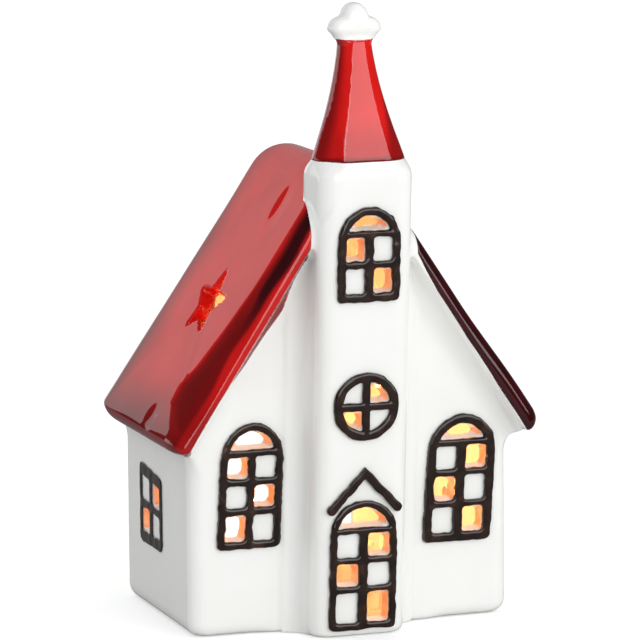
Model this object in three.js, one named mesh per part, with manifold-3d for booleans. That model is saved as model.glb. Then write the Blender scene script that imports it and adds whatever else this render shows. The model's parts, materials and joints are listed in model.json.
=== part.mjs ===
// Ceramic church tealight holder: a hollow house with a gable roof, a bell tower with a spire, pierced
// windows in raised frames, and a tealight that slides in through the rear.
// Millimetres, +Z up. The door faces -Y. The origin is the middle of the object's underside.

import * as THREE from 'three';
import { mergeVertices } from 'three/addons/utils/BufferGeometryUtils.js';
import Module from 'manifold-3d';

const wasm = await Module();
wasm.setup();

// House
const HOUSE_WIDTH = 107.4;
const HOUSE_DEPTH = 72.4;
const WALL = 4;
const FLOOR = 4;
const HOUSE_CORNER = 5;
const INSIDE_CORNER = 1.5;
const FOOT_ROUND = 2;

// Roof: its underside passes through the eave's inner corner and rises at the pitch
const ROOF_PITCH = THREE.MathUtils.degToRad(56.9);
const ROOF_THICKNESS = 6.2;
const RIDGE_RADIUS = 13.7;
const FRONT_ROUND_REACH = 9.5;
const FRONT_ROUND_DROP = 4;
const REAR_ROUND = 3.8;
const EAVE_HEIGHT = 59.4;
const EAVE_REACH = 3.9;
const FRONT_VERGE = 8.4;
const REAR_VERGE = 1.2;
const REAR_LEAN = 0.09;

// Cove that carries the white wall out under the roof, in front and at the sides
const COVE_DROP = 7;
const COVE_LIP = 0.8;
const VERGE_LEDGE = 1.8;
const EAVE_LEDGE = 0.8;

// Tower, which leans a little as a hand-finished casting does
const TOWER_WIDTH = 31.6;
const TOWER_DEPTH = 23.4;
const TOWER_PROJECTION = 14.1;
const TOWER_OVER_RIDGE = 2.88;
const TOWER_CORNER = 6;
const TOWER_FILLET = 6;
const TOWER_LEAN = 0.027;
const LEAN_PIVOT_HEIGHT = 74;
const SHOULDER_HEIGHT = 5;
const SHOULDER_INSET = 0.8;

// Spire: a rounded oblong at the foot that turns round at the tip
const SPIRE_CORNER = 10.4;
const SPIRE_HEIGHT = 37.6;
const SPIRE_TIP_RADIUS = 5.3;
const SPIRE_FLARE = 1.43;
const SPIRE_LEAN = -0.0275;
const SPIRE_SOLID_TIP = 12;

// Star finial, cut flat where it sits on the spire
const STAR_RADIUS = 8.4;
const STAR_NOTCH_RADIUS = 6;
const STAR_BLUNTNESS = 0.45;
const STAR_DROOP = 0.2;
const STAR_HEIGHT = 11.2;
const STAR_STRETCH = 1.14;
const STAR_THICKNESS = 9;
const STAR_ROUND = 3;

// Star cut through the left slope of the roof
const VENT_RADIUS = 12.5;
const VENT_NOTCH_RADIUS = 5.8;
const VENT_FROM_FACADE = 31.8;
const VENT_ABOVE_EAVE = 47.2;

// Rear opening for the tealight
const DOORWAY_WIDTH = 50;
const DOORWAY_SPRING = 40;
const DOORWAY_RISE = 22;

// Raised frames and their parts
const RELIEF = 1.3;
const RELIEF_ROUND = 0.7;
const PANE_ROUND = 0.8;
const PANE_TAPER = 1.6;
const FRAME_CORNER = 1.8;

const LEFT_WINDOW = {
  fromCorner: 18.8,
  sill: 28.2,
  width: 20.9,
  rim: 2.4,
  muntin: 2.4,
  bar: 2.3,
  rows: [8.5, 7.1, 7],
  archBase: 28,
  archRise: 12.3,
  lean: 0.055,
  open: ['left 1', 'right 2', 'left 3', 'arch'],
};

const RIGHT_WINDOW = {
  fromCorner: 18.5,
  sill: 25.4,
  width: 23,
  rim: 2.9,
  muntin: 3.1,
  bar: 2.2,
  rows: [8.2, 8, 7.6],
  archBase: 29,
  archRise: 12.2,
  lean: 0.07,
  open: ['right 1', 'left 2', 'right 3', 'arch'],
};

const TOWER_WINDOW = {
  belowTop: 43.5,
  width: 20.6,
  rim: 2.6,
  muntin: 2.8,
  bar: 2.2,
  rows: [8, 7.6],
  archBase: 19,
  archRise: 10.9,
  lean: 0,
  open: ['right 1', 'left 2', 'arch'],
};

const DOOR = {
  sill: 2.5,
  width: 22.2,
  rim: 2.2,
  muntin: 2.9,
  bar: 1.9,
  rows: [9.9, 7.4, 7.6],
  archBase: 30.4,
  archRise: 11.1,
  lean: 0,
  open: ['right 1', 'left 2', 'right 3', 'arch'],
};

const ROSE_HEIGHT = 73.8;
const ROSE_RADIUS = 10.75;
const ROSE_RIM = 2.8;
const ROSE_BAR = 2.6;

const HOOD_HEIGHT = 54;
const HOOD_DROP = 14.2;
const HOOD_HALF_WIDTH = 12.4;
const HOOD_BAR = 2.6;
const HOOD_RELIEF = 1.7;

const SIDE_WINDOW_FROM_FACADE = 42;
const SIDE_WINDOW_SILL = 22.1;
const SIDE_WINDOW_WIDTH = 23.4;
const SIDE_WINDOW_HEIGHT = 25;
const SIDE_WINDOW_SLANT = 0.11;
const SIDE_WINDOW_JAMB = 2.2;
const SIDE_WINDOW_RIM = 3.6;
const SIDE_WINDOW_BAR = 2.4;

// Tealight
const CUP_RADIUS = 18.8;
const CUP_HEIGHT = 16;
const CUP_SHEET = 0.5;
const CUP_RIM = 0.7;
const WAX_HEIGHT = 12.6;
const WAX_DISH = 0.8;
const WICK_RADIUS = 0.65;
const WICK_ABOVE_WAX = 8;
const WICK_BEND = 1.6;
const SUSTAINER_RADIUS = 7;
const SUSTAINER_SHEET = 0.4;
const SUSTAINER_NECK_RADIUS = 1.6;
const SUSTAINER_NECK_HEIGHT = 5;

// Clearances
const GLAZE_GAP = 0.3;
const CANDLE_GAP = 0.25;
const WICK_GAP = 0.15;

// Derived places
const halfHouse = HOUSE_WIDTH / 2;
const halfTower = TOWER_WIDTH / 2;
const frontReach = TOWER_PROJECTION + Math.max(HOOD_RELIEF, RELIEF);
const overallDepth = frontReach + HOUSE_DEPTH + REAR_VERGE;
const facadeY = frontReach - overallDepth / 2;
const rearY = facadeY + HOUSE_DEPTH;
const towerFrontY = facadeY - TOWER_PROJECTION;
const towerMiddleY = towerFrontY + TOWER_DEPTH / 2;
const eaveX = halfHouse + EAVE_REACH;
const rise = Math.tan(ROOF_PITCH);
const ridgeInnerRadius = RIDGE_RADIUS - ROOF_THICKNESS;
const ridgeCentreZ = EAVE_HEIGHT + eaveX * rise - ridgeInnerRadius / Math.cos(ROOF_PITCH);
const roofTop = ridgeCentreZ + RIDGE_RADIUS;
const eaveMiddleZ = EAVE_HEIGHT + (ROOF_THICKNESS / 2) * (Math.cos(ROOF_PITCH) + Math.sin(ROOF_PITCH));
const coveX = eaveX - EAVE_LEDGE;
const frontCove = FRONT_VERGE - VERGE_LEDGE;
const seatY = facadeY + HOUSE_DEPTH / 2;
const towerTop = roofTop + TOWER_OVER_RIDGE;
const spireFoot = towerTop + GLAZE_GAP;
const starFoot = spireFoot + SPIRE_HEIGHT + GLAZE_GAP;
const BEYOND = 2 * (HOUSE_WIDTH + HOUSE_DEPTH + towerTop);

const ARC_STEPS = 6;
const ROUND_STEPS = 3;
const VERGE_STEPS = 4;
const SPIRE_STEPS = 8;
const STAR_STEPS = 40;
const ALMOST_ROUND = 0.98;
const CORNER_STEPS = 2;
const quarter = Math.PI / 2;

const leanAt = (z) => TOWER_LEAN * (z - LEAN_PIVOT_HEIGHT);

// How far the rear leans forward at a height over the eaves
const rearShift = (z) => REAR_LEAN * Math.max(0, z - eaveMiddleZ);

// Height of a line parallel to the roof's underside, a distance below it
const undersideZ = (x, below = 0) => {
  const apex = EAVE_HEIGHT + eaveX * rise;
  return apex - Math.abs(x) * rise - below / Math.cos(ROOF_PITCH);
};

// Solids

function toSolid(geometry) {
  const bare = geometry.clone();
  bare.deleteAttribute('normal');
  bare.deleteAttribute('uv');
  const merged = mergeVertices(bare, 1e-4);
  return new wasm.Manifold(new wasm.Mesh({
    numProp: 3,
    vertProperties: new Float32Array(merged.attributes.position.array),
    triVerts: new Uint32Array(merged.index.array),
  }));
}

function toGeometry(solid) {
  const mesh = solid.getMesh();
  const geometry = new THREE.BufferGeometry();
  geometry.setAttribute('position', new THREE.BufferAttribute(mesh.vertProperties, 3));
  geometry.setIndex(new THREE.BufferAttribute(mesh.triVerts, 1));
  geometry.computeVertexNormals();
  return geometry;
}

function block(xMin, xMax, yMin, yMax, zMin, zMax) {
  const box = new THREE.BoxGeometry(xMax - xMin, yMax - yMin, zMax - zMin);
  box.translate((xMin + xMax) / 2, (yMin + yMax) / 2, (zMin + zMax) / 2);
  return toSolid(box);
}

// Closed skin through rings of equally many points, each counterclockwise as seen from the last one.
// The first and last rings are flat and are filled as seen in the plane that flatten gives
function loft(rings, flatten = ({ x, y }) => new THREE.Vector2(x, y)) {
  const count = rings[0].length;
  const positions = rings.flat().flatMap((point) => [point.x, point.y, point.z]);
  const top = (rings.length - 1) * count;
  const index = [];
  for (let start = 0; start < top; start += count) {
    for (let i = 0; i < count; i += 1) {
      const here = start + i;
      const next = start + ((i + 1) % count);
      index.push(here, next, next + count, here, next + count, here + count);
    }
  }
  THREE.ShapeUtils.triangulateShape(rings[0].map(flatten), []).forEach(([a, b, c]) => {
    index.push(c, b, a);
  });
  THREE.ShapeUtils.triangulateShape(rings[rings.length - 1].map(flatten), []).forEach(([a, b, c]) => {
    index.push(top + a, top + b, top + c);
  });
  const geometry = new THREE.BufferGeometry();
  geometry.setAttribute('position', new THREE.Float32BufferAttribute(positions, 3));
  geometry.setIndex(index);
  return geometry;
}

// Level rectangle with round corners
function ring(xMin, xMax, yMin, yMax, z, radius, steps = ARC_STEPS) {
  const corners = [
    [xMax - radius, yMax - radius],
    [xMin + radius, yMax - radius],
    [xMin + radius, yMin + radius],
    [xMax - radius, yMin + radius],
  ];
  return corners.flatMap(([x, y], turn) => {
    const points = [];
    for (let step = 0; step <= steps; step += 1) {
      const angle = (turn + step / steps) * quarter;
      points.push(new THREE.Vector3(x + radius * Math.cos(angle), y + radius * Math.sin(angle), z));
    }
    return points;
  });
}

// Extrusions

// Drawn in X and Z, and extruded along Y from yMin to yMax
function alongY(shape, yMin, yMax, bevel = 0, bevelSegments = 2) {
  const geometry = new THREE.ExtrudeGeometry(shape, {
    depth: yMax - yMin - 2 * bevel,
    curveSegments: ARC_STEPS,
    bevelEnabled: bevel > 0,
    bevelSize: bevel,
    bevelThickness: bevel,
    bevelSegments,
  });
  geometry.applyMatrix4(new THREE.Matrix4().set(1, 0, 0, 0, 0, 0, -1, yMax - bevel, 0, 1, 0, 0, 0, 0, 0, 1));
  return geometry;
}

// Sideways shift that grows with height
function lean(geometry, slope, pivot) {
  const position = geometry.attributes.position;
  for (let i = 0; i < position.count; i += 1) {
    position.setX(i, position.getX(i) + slope * (position.getZ(i) - pivot));
  }
  return geometry;
}

const leanWithTower = (geometry) => lean(geometry, TOWER_LEAN, LEAN_PIVOT_HEIGHT);

// Outlines

const roundedBox = (xMin, xMax, zMin, zMax, radius) => (
  new THREE.Shape(ring(xMin, xMax, zMin, zMax, 0, radius, CORNER_STEPS))
);

// Flat foot with round corners, straight jambs and a half-elliptical head, about x = 0
function archOutline(width, foot, spring, archRise, corner) {
  const half = width / 2;
  const shape = new THREE.Shape();
  shape.absarc(corner - half, foot + corner, corner, 2 * quarter, 3 * quarter);
  shape.absarc(half - corner, foot + corner, corner, 3 * quarter, 4 * quarter);
  shape.absellipse(0, spring, half, archRise, 0, 2 * quarter);
  return shape;
}

const paneRound = (grow) => Math.max(PANE_ROUND + grow, PANE_ROUND / 2);

// The pane over the transom: a flat foot and an elliptical head
function archPane(window, foot, grow) {
  const half = window.width / 2 - window.rim + grow;
  const height = window.archRise - window.rim + grow;
  const start = Math.asin((foot - grow - window.archBase) / height);
  const shape = new THREE.Shape();
  shape.absellipse(0, window.archBase, half, height, start, 2 * quarter - start);
  return shape;
}

// The panes of an arched window by name, each grown by a margin
function archedPanes(window, grow = 0) {
  const panes = {};
  const outer = window.width / 2 - window.rim + grow;
  const inner = window.muntin / 2 - grow;
  const round = paneRound(grow);
  let foot = window.rim;
  window.rows.forEach((height, row) => {
    const low = foot - grow;
    const high = foot + height + grow;
    panes[`left ${row + 1}`] = roundedBox(-outer, -inner, low, high, round);
    panes[`right ${row + 1}`] = roundedBox(inner, outer, low, high, round);
    foot += height + window.bar;
  });
  panes.arch = archPane(window, foot, grow);
  return panes;
}

// Quarters of the rose window, counted from the top right
function rosePane(turn, grow = 0) {
  const radius = ROSE_RADIUS - ROSE_RIM + grow;
  const inner = ROSE_BAR / 2 - grow;
  const start = Math.asin(inner / radius);
  const shape = new THREE.Shape();
  const facing = turn * quarter;
  shape.absarc(0, 0, radius, facing + start, facing + quarter - start);
  shape.lineTo(
    inner * Math.SQRT2 * Math.cos(facing + quarter / 2),
    inner * Math.SQRT2 * Math.sin(facing + quarter / 2),
  );
  return shape;
}

// Quarters of a side window, counted from the top right
function sidePane(turn, grow = 0) {
  const outer = SIDE_WINDOW_WIDTH / 2 - SIDE_WINDOW_JAMB + grow;
  const high = SIDE_WINDOW_HEIGHT / 2 - SIDE_WINDOW_RIM + grow;
  const inner = SIDE_WINDOW_BAR / 2 - grow;
  const isRight = turn === 0 || turn === 3;
  const isTop = turn < 2;
  return roundedBox(
    isRight ? inner : -outer,
    isRight ? outer : -inner,
    isTop ? inner : -high,
    isTop ? high : -inner,
    paneRound(grow),
  );
}

// Five-pointed star with straight edges, one point up
function sharpStar(radius, notch) {
  const points = [];
  for (let i = 0; i < 10; i += 1) {
    const angle = quarter + (i * Math.PI) / 5;
    const reach = i % 2 === 0 ? radius : notch;
    points.push(new THREE.Vector2(reach * Math.cos(angle), reach * Math.sin(angle)));
  }
  return new THREE.Shape(points);
}

// Roof and house

// Cross-section of the roof at a depth, with its upper skin lowered by an inset
function roofSection(y, inset, leanWithRear) {
  const half = (ROOF_THICKNESS - inset) / 2;
  const alongX = Math.cos(ROOF_PITCH);
  const alongZ = Math.sin(ROOF_PITCH);
  const capX = eaveX - (ROOF_THICKNESS / 2) * alongX + half * alongZ;
  const capZ = EAVE_HEIGHT + (ROOF_THICKNESS / 2) * alongZ + half * alongX;
  const normal = quarter - ROOF_PITCH;
  const shape = new THREE.Shape();
  shape.absarc(capX, capZ, half, normal - 2 * quarter, normal);
  shape.absarc(0, ridgeCentreZ, RIDGE_RADIUS - inset, normal, 2 * quarter - normal);
  shape.absarc(-capX, capZ, half, 2 * quarter - normal, 4 * quarter - normal);
  shape.absarc(0, ridgeCentreZ, ridgeInnerRadius, 2 * quarter - normal, normal, true);
  return shape.getPoints(ARC_STEPS).map(({ x, y: z }) => (
    new THREE.Vector3(x, leanWithRear ? y - rearShift(z) : y, z)
  ));
}

// Roof slab, rounded along the rear verge and more widely along the front one
function roofSlab() {
  const rear = [];
  const front = [];
  for (let step = 0; step <= VERGE_STEPS; step += 1) {
    const angle = (step / VERGE_STEPS) * quarter;
    const back = 1 - Math.cos(angle);
    const inset = 1 - Math.sin(angle);
    rear.push(roofSection(rearY + REAR_VERGE - REAR_ROUND * back, REAR_ROUND * inset, true));
    front.unshift(roofSection(
      facadeY - FRONT_VERGE + FRONT_ROUND_REACH * back,
      FRONT_ROUND_DROP * inset,
      false,
    ));
  }
  return toSolid(loft([...rear, ...front], ({ x, z }) => new THREE.Vector2(x, z)));
}

// Everything below the roof's underside, less a gap
function underRoof(gap, yMin, yMax) {
  const normal = quarter - ROOF_PITCH;
  const shape = new THREE.Shape();
  shape.absarc(0, ridgeCentreZ, ridgeInnerRadius - gap, normal, 2 * quarter - normal);
  shape.lineTo(-BEYOND, undersideZ(BEYOND, gap));
  shape.lineTo(BEYOND, undersideZ(BEYOND, gap));
  return toSolid(alongY(shape, yMin, yMax));
}

// House section across the width: straight walls that curve out to the eaves
const sideCoveTop = undersideZ(coveX) - COVE_LIP;
const sideCoveFoot = sideCoveTop - COVE_DROP;

function wallSection() {
  const reach = coveX - halfHouse;
  const top = undersideZ(0);
  const shape = new THREE.Shape();
  shape.absellipse(coveX, sideCoveFoot, reach, COVE_DROP, 2 * quarter, quarter, true);
  shape.lineTo(coveX, top);
  shape.lineTo(-coveX, top);
  shape.absellipse(-coveX, sideCoveFoot, reach, COVE_DROP, quarter, 0, true);
  shape.lineTo(-halfHouse, -1);
  shape.lineTo(halfHouse, -1);
  return toSolid(alongY(shape, -BEYOND, BEYOND));
}

// House section across the depth, measured down from one slope: the facade curves out to the verge
function gableSection(side) {
  const shape = new THREE.Shape();
  shape.absellipse(facadeY - frontCove, -(COVE_LIP + COVE_DROP), frontCove, COVE_DROP, 0, quarter);
  shape.lineTo(facadeY - frontCove, COVE_LIP);
  shape.lineTo(rearY, COVE_LIP);
  shape.lineTo(rearY, -BEYOND);
  shape.lineTo(facadeY, -BEYOND);
  const geometry = new THREE.ExtrudeGeometry(shape, {
    depth: 2 * BEYOND,
    curveSegments: ARC_STEPS,
    bevelEnabled: false,
  });
  geometry.translate(0, 0, -BEYOND);
  const depthAxis = new THREE.Vector3(0, 1, 0);
  const normal = new THREE.Vector3(side * Math.sin(ROOF_PITCH), 0, Math.cos(ROOF_PITCH));
  const slopeAxis = new THREE.Vector3().crossVectors(depthAxis, normal);
  const place = new THREE.Matrix4().makeBasis(depthAxis, normal, slopeAxis);
  place.setPosition(side * eaveX, 0, EAVE_HEIGHT);
  return toSolid(geometry.applyMatrix4(place));
}

// Everything in front of the rear wall, which leans forward over the eaves
function beforeRear() {
  const at = (z) => ring(-BEYOND, BEYOND, -BEYOND, rearY - rearShift(z), z, INSIDE_CORNER);
  return toSolid(loft([at(-1), at(eaveMiddleZ), at(roofTop)]));
}

// Insets and heights of a rounded foot
function footLevels() {
  return Array.from({ length: ROUND_STEPS + 1 }, (_, step) => {
    const angle = (step / ROUND_STEPS) * quarter;
    return { z: FOOT_ROUND * (1 - Math.cos(angle)), inset: FOOT_ROUND * (1 - Math.sin(angle)) };
  });
}

// Share of its full reach that a verge cove has at a depth below the roof
function vergeFlare(depth) {
  const sine = THREE.MathUtils.clamp((COVE_LIP + COVE_DROP - depth) / COVE_DROP, 0, 1);
  return 1 - Math.sqrt(1 - sine * sine);
}

// Plan outlines that round the house's upright corners, also where they curve out under the roof
function cornerRings() {
  const ringAt = (halfWidth, z, inset = 0) => {
    const flare = vergeFlare((undersideZ(halfWidth) - z) * Math.cos(ROOF_PITCH));
    const front = facadeY - frontCove * flare;
    return ring(inset - halfWidth, halfWidth - inset, front + inset, rearY - inset, z, HOUSE_CORNER);
  };
  const rings = footLevels().map(({ z, inset }) => ringAt(halfHouse, z, inset));
  for (let step = 0; step <= ARC_STEPS; step += 1) {
    const angle = (step / ARC_STEPS) * quarter;
    const halfWidth = coveX - (coveX - halfHouse) * Math.cos(angle);
    rings.push(ringAt(halfWidth, sideCoveFoot + COVE_DROP * Math.sin(angle)));
  }
  rings.push(ringAt(coveX, undersideZ(coveX)));
  rings.push(ring(-coveX, coveX, facadeY - frontCove, rearY, roofTop, HOUSE_CORNER));
  return rings;
}

function houseInside() {
  const at = (z) => ring(
    WALL - halfHouse,
    halfHouse - WALL,
    facadeY + WALL,
    rearY - WALL - rearShift(z),
    z,
    INSIDE_CORNER,
  );
  return toSolid(loft([at(FLOOR), at(eaveMiddleZ), at(roofTop)]));
}

// Tower

function towerLevels() {
  const levels = footLevels().map((level) => ({ ...level, round: 0 }));
  for (let step = 0; step <= ARC_STEPS; step += 1) {
    const round = (step / ARC_STEPS) ** 2;
    const z = towerTop - SHOULDER_HEIGHT * (1 - step / ARC_STEPS);
    levels.push({ z, inset: SHOULDER_INSET * round, round });
  }
  return levels;
}

// The tower's outer form grown by a margin. At the shoulder its corners take the spire's round
function towerColumn(grow = 0) {
  const levels = towerLevels();
  if (grow !== 0) {
    const top = levels[levels.length - 1];
    levels.push({ ...top, z: top.z + 1 });
  }
  return toSolid(loft(levels.map(({ z, inset, round }) => {
    const halfX = halfTower + grow - inset;
    const halfY = TOWER_DEPTH / 2 + grow - inset;
    const radius = THREE.MathUtils.lerp(TOWER_CORNER, SPIRE_CORNER, round) + grow;
    const x = leanAt(z);
    return ring(x - halfX, x + halfX, towerMiddleY - halfY, towerMiddleY + halfY, z, radius);
  })));
}

// Hollow curve between the tower's side and the facade
function towerFillet(side, grow = 0) {
  const centre = new THREE.Vector2(halfTower + TOWER_FILLET, facadeY - TOWER_FILLET - COVE_LIP);
  const points = [
    new THREE.Vector2(side * (halfTower - 1), centre.y),
    new THREE.Vector2(side * (halfTower - 1), facadeY),
    new THREE.Vector2(side * centre.x, facadeY),
  ];
  for (let step = 0; step <= ARC_STEPS; step += 1) {
    const angle = (1 + step / ARC_STEPS) * quarter;
    const reach = TOWER_FILLET - grow;
    points.push(new THREE.Vector2(
      side * (centre.x + reach * Math.cos(angle)),
      centre.y + reach * Math.sin(angle),
    ));
  }
  const geometry = new THREE.ExtrudeGeometry(new THREE.Shape(points), {
    depth: towerTop,
    bevelEnabled: false,
  });
  return toSolid(leanWithTower(geometry));
}

const filletsUnderRoof = (grow, gap) => towerFillet(-1, grow)
  .add(towerFillet(1, grow))
  .intersect(underRoof(gap, -BEYOND, BEYOND));

function towerPassage() {
  const half = halfTower - WALL;
  const box = new THREE.BoxGeometry(2 * half, WALL + 2, roofTop - FLOOR);
  box.translate(0, facadeY + WALL / 2, (roofTop + FLOOR) / 2);
  return toSolid(leanWithTower(box));
}

// Raised frames

// A raised piece on a wall that faces -Y: rounded in front, cut flat at the wall
function raised(geometry, wallY) {
  return toSolid(geometry).subtract(block(-BEYOND, BEYOND, wallY, wallY + BEYOND, -BEYOND, BEYOND));
}

// The side is -1 or 1 for a window of the facade, and 0 for one on the tower
function windowPlace(window, side) {
  const x = side === 0 ? 0 : side * (halfHouse - window.fromCorner);
  return (geometry) => {
    lean(geometry, window.lean, 0);
    geometry.translate(x, 0, window.sill ?? towerTop - window.belowTop);
    return side === 0 ? leanWithTower(geometry) : geometry;
  };
}

function archedFrame(window, wallY, side) {
  const round = RELIEF_ROUND;
  const width = window.width - 2 * round;
  const corner = FRAME_CORNER - round;
  const shape = archOutline(width, round, window.archBase, window.archRise - round, corner);
  shape.holes.push(...Object.values(archedPanes(window, round)));
  const geometry = alongY(shape, wallY - RELIEF, wallY + RELIEF, round);
  return raised(windowPlace(window, side)(geometry), wallY);
}

// Hole through a wall that faces -Y, cut narrower towards the inside. The outline takes a margin
function taperedCut(outlineAt, wallY) {
  const level = (y, grow) => outlineAt(grow).getPoints(ARC_STEPS).map(({ x, y: z }) => (
    new THREE.Vector3(x, y, z)
  ));
  return loft([
    level(wallY + WALL + 1, -PANE_TAPER),
    level(wallY, 0),
    level(wallY - 1, 0),
  ], ({ x, z }) => new THREE.Vector2(x, z));
}

function archedCuts(window, wallY, side) {
  const place = windowPlace(window, side);
  return window.open.map((name) => (
    toSolid(place(taperedCut((grow) => archedPanes(window, grow)[name], wallY)))
  ));
}

const rosePlace = (geometry) => leanWithTower(geometry.translate(0, 0, ROSE_HEIGHT));

function roseFrame() {
  const shape = new THREE.Shape();
  shape.absarc(0, 0, ROSE_RADIUS - RELIEF_ROUND, 0, 4 * quarter);
  shape.holes.push(...[0, 1, 2, 3].map((turn) => rosePane(turn, RELIEF_ROUND)));
  const geometry = alongY(shape, towerFrontY - RELIEF, towerFrontY + RELIEF, RELIEF_ROUND);
  return raised(rosePlace(geometry), towerFrontY);
}

function roseCuts() {
  return [0, 2].map((turn) => (
    toSolid(rosePlace(taperedCut((grow) => rosePane(turn, grow), towerFrontY)))
  ));
}

// Chevron bar with round ends over the door
function doorHood() {
  const round = RELIEF_ROUND;
  const half = HOOD_BAR / 2 - round;
  const slope = Math.atan2(HOOD_DROP - HOOD_BAR, HOOD_HALF_WIDTH - HOOD_BAR / 2);
  const normal = quarter - slope;
  const endX = HOOD_HALF_WIDTH - HOOD_BAR / 2;
  const endZ = HOOD_HEIGHT - HOOD_DROP + HOOD_BAR / 2;
  const apexZ = endZ + endX * Math.tan(slope);
  const shape = new THREE.Shape();
  shape.absarc(endX, endZ, half, normal - 2 * quarter, normal);
  shape.lineTo(0, apexZ + half / Math.cos(slope));
  shape.absarc(-endX, endZ, half, 2 * quarter - normal, 4 * quarter - normal);
  shape.lineTo(0, apexZ - half / Math.cos(slope));
  const geometry = alongY(shape, towerFrontY - HOOD_RELIEF, towerFrontY + HOOD_RELIEF, round);
  return raised(leanWithTower(geometry), towerFrontY);
}

// Lets the head of a side window fall towards the facade, and keeps its foot level
function slanted(geometry, side) {
  const position = geometry.attributes.position;
  for (let i = 0; i < position.count; i += 1) {
    const fall = SIDE_WINDOW_SLANT * (position.getZ(i) / SIDE_WINDOW_HEIGHT + 0.5);
    position.setZ(i, position.getZ(i) + side * fall * position.getX(i));
  }
  return geometry;
}

// Side windows, drawn as on a wall that faces -Y and then turned to the wall at the given side
function turnToSide(side) {
  const y = facadeY + SIDE_WINDOW_FROM_FACADE;
  const z = SIDE_WINDOW_SILL + SIDE_WINDOW_HEIGHT / 2;
  return new THREE.Matrix4().set(0, -side, 0, side * halfHouse, side, 0, 0, y, 0, 0, 1, z, 0, 0, 0, 1);
}

function sideFrame(side) {
  const round = RELIEF_ROUND;
  const halfWidth = SIDE_WINDOW_WIDTH / 2 - round;
  const halfHeight = SIDE_WINDOW_HEIGHT / 2 - round;
  const shape = roundedBox(-halfWidth, halfWidth, -halfHeight, halfHeight, 2 * PANE_ROUND);
  shape.holes.push(...[0, 1, 2, 3].map((turn) => sidePane(turn, round)));
  const solid = raised(slanted(alongY(shape, -RELIEF, RELIEF, round), side), 0);
  return toSolid(toGeometry(solid).applyMatrix4(turnToSide(side)));
}

// The open panes are the upper one nearer the facade and the lower one nearer the rear
function sideCuts(side) {
  const turns = side < 0 ? [0, 2] : [1, 3];
  return turns.map((turn) => {
    const cut = slanted(taperedCut((grow) => sidePane(turn, grow), 0), side);
    return toSolid(cut.applyMatrix4(turnToSide(side)));
  });
}

// Ceramic pieces

const subtractAll = (solid, cutters) => cutters.reduce((rest, cutter) => rest.subtract(cutter), solid);

function churchWalls() {
  const house = gableSection(1)
    .add(gableSection(-1))
    .intersect(wallSection())
    .intersect(beforeRear())
    .intersect(toSolid(loft(cornerRings())))
    .intersect(underRoof(GLAZE_GAP, -BEYOND, BEYOND));
  const doorway = toSolid(alongY(
    archOutline(DOORWAY_WIDTH, FLOOR, DOORWAY_SPRING, DOORWAY_RISE, INSIDE_CORNER),
    rearY - WALL - 1,
    rearY + 1,
  ));
  const tower = towerColumn(GLAZE_GAP)
    .add(towerFillet(-1, GLAZE_GAP))
    .add(towerFillet(1, GLAZE_GAP))
    .intersect(block(-BEYOND, BEYOND, -BEYOND, facadeY, -BEYOND, BEYOND));
  return subtractAll(house, [
    houseInside(),
    doorway,
    towerPassage(),
    tower,
    ...archedCuts(LEFT_WINDOW, facadeY, -1),
    ...archedCuts(RIGHT_WINDOW, facadeY, 1),
    ...sideCuts(-1),
    ...sideCuts(1),
  ]);
}

function bellTower() {
  const bore = towerColumn(-WALL).intersect(block(-BEYOND, BEYOND, -BEYOND, BEYOND, FLOOR, BEYOND));
  const tower = towerColumn()
    .subtract(underRoof(0, facadeY, BEYOND))
    .add(filletsUnderRoof(0, GLAZE_GAP));
  return subtractAll(tower, [
    bore,
    ...archedCuts(DOOR, towerFrontY, 0),
    ...archedCuts(TOWER_WINDOW, towerFrontY, 0),
    ...roseCuts(),
  ]);
}

function starVent() {
  const geometry = new THREE.ExtrudeGeometry(sharpStar(VENT_RADIUS, VENT_NOTCH_RADIUS), {
    depth: 3 * ROOF_THICKNESS,
    bevelEnabled: false,
  });
  geometry.translate(0, 0, -ROOF_THICKNESS);
  const toFront = new THREE.Vector3(0, -1, 0);
  const upSlope = new THREE.Vector3(Math.cos(ROOF_PITCH), 0, Math.sin(ROOF_PITCH));
  const place = new THREE.Matrix4().makeBasis(
    toFront,
    upSlope,
    new THREE.Vector3().crossVectors(toFront, upSlope),
  );
  place.setPosition(
    -eaveX + VENT_ABOVE_EAVE * upSlope.x,
    facadeY + VENT_FROM_FACADE,
    EAVE_HEIGHT + VENT_ABOVE_EAVE * upSlope.z,
  );
  return toSolid(geometry.applyMatrix4(place));
}

const gableRoof = () => roofSlab().subtract(towerColumn(GLAZE_GAP)).subtract(starVent());

// Spire outlines up to a height, drawn inside its skin by an inset
function spireRings(foot, height, inset) {
  const footX = halfTower - SHOULDER_INSET;
  const footY = TOWER_DEPTH / 2 - SHOULDER_INSET;
  const levels = Array.from({ length: SPIRE_STEPS + 1 }, (_, step) => (
    foot + ((height - foot) * step) / SPIRE_STEPS
  ));
  return levels.map((z) => {
    const flare = (1 - z / SPIRE_HEIGHT) ** SPIRE_FLARE;
    const spread = (size) => THREE.MathUtils.lerp(SPIRE_TIP_RADIUS, size, flare) - inset;
    const halfX = spread(footX);
    const halfY = spread(footY);
    const radius = Math.min(spread(SPIRE_CORNER), ALMOST_ROUND * Math.min(halfX, halfY));
    return ring(-halfX, halfX, -halfY, halfY, z, radius);
  });
}

function towerSpire() {
  const spire = toSolid(loft(spireRings(0, SPIRE_HEIGHT, 0)));
  const hollow = toSolid(loft(spireRings(-1, SPIRE_HEIGHT - SPIRE_SOLID_TIP, WALL)));
  const geometry = lean(toGeometry(spire.subtract(hollow)), SPIRE_LEAN, 0);
  geometry.translate(leanAt(towerTop), towerMiddleY, spireFoot);
  return toSolid(geometry);
}

// Stands a solid of revolution, turned about Y, up along Z
function turned(profile, segments) {
  const geometry = new THREE.LatheGeometry(profile, segments);
  return geometry.applyMatrix4(new THREE.Matrix4().set(1, 0, 0, 0, 0, 0, -1, 0, 0, 1, 0, 0, 0, 0, 0, 1));
}

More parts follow.
